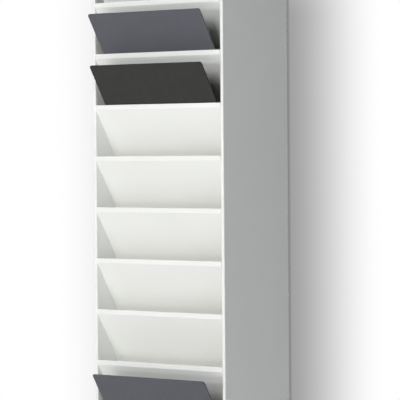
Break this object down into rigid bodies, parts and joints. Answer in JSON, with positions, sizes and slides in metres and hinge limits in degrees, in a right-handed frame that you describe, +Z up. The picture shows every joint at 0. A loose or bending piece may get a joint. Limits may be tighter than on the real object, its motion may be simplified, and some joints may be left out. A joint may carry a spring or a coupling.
{
  "type": "newspaper rack",
  "caption": "Tall narrow white rack with inclined pockets one above another for newspapers; stiff grey and black boards lie in some pockets and slide out along the slope.",
  "frame": {"origin": "centre of the rack's footprint on the floor, under the side panels and the back panel", "axes": "+Z up, -Y towards the reader who stands in front, +X to that reader's right"},
  "size_m": [0.376, 0.2831, 1.8271],
  "materials": {
    "white_lacquer": "white satin lacquer on fibreboard",
    "board_light_grey": "matt light grey sheet",
    "board_grey": "matt slate grey sheet",
    "board_black": "matt black sheet",
    "beech": "planed, unfinished",
    "zinc_steel": "zinc plated",
    "white_steel": "white powder coat"
  },
  "bodies": {
    "rack": {"side_panel_left": "white_lacquer", "side_panel_right": "white_lacquer", "back_panel": "white_lacquer", "top_panel": "white_lacquer", "base_panel": "white_lacquer", "lower_front_panel": "white_lacquer", "front_batten_left": "beech", "front_batten_right": "beech", "corner_dowels": "beech", "top_slope": "white_lacquer", "shelf_01": "white_lacquer", "shelf_02": "white_lacquer", "shelf_03": "white_lacquer", "shelf_04": "white_lacquer", "shelf_05": "white_lacquer", "shelf_06": "white_lacquer", "shelf_07": "white_lacquer", "shelf_08": "white_lacquer", "shelf_09": "white_lacquer", "shelf_10": "white_lacquer", "shelf_11": "white_lacquer", "shelf_12": "white_lacquer", "back_panel_screws": "zinc_steel", "wall_angle": "white_steel", "wall_angle_screws": "zinc_steel"},
    "board_01": {"newspaper_board_01": "board_light_grey"},
    "board_02": {"newspaper_board_02": "board_grey"},
    "board_03": {"newspaper_board_03": "board_black"},
    "board_09": {"newspaper_board_09": "board_grey"}
  },
  "joints": [
    {"name": "board_01_slide", "type": "slide", "parent": "rack", "child": "board_01", "axis": [0, -0.5299, 0.848], "range_m": [0, 0.43]},
    {"name": "board_02_slide", "type": "slide", "parent": "rack", "child": "board_02", "axis": [0, -0.5299, 0.848], "range_m": [0, 0.43]},
    {"name": "board_03_slide", "type": "slide", "parent": "rack", "child": "board_03", "axis": [0, -0.5299, 0.848], "range_m": [0, 0.43]},
    {"name": "board_09_slide", "type": "slide", "parent": "rack", "child": "board_09", "axis": [0, -0.5299, 0.848], "range_m": [0, 0.43]}
  ]
}
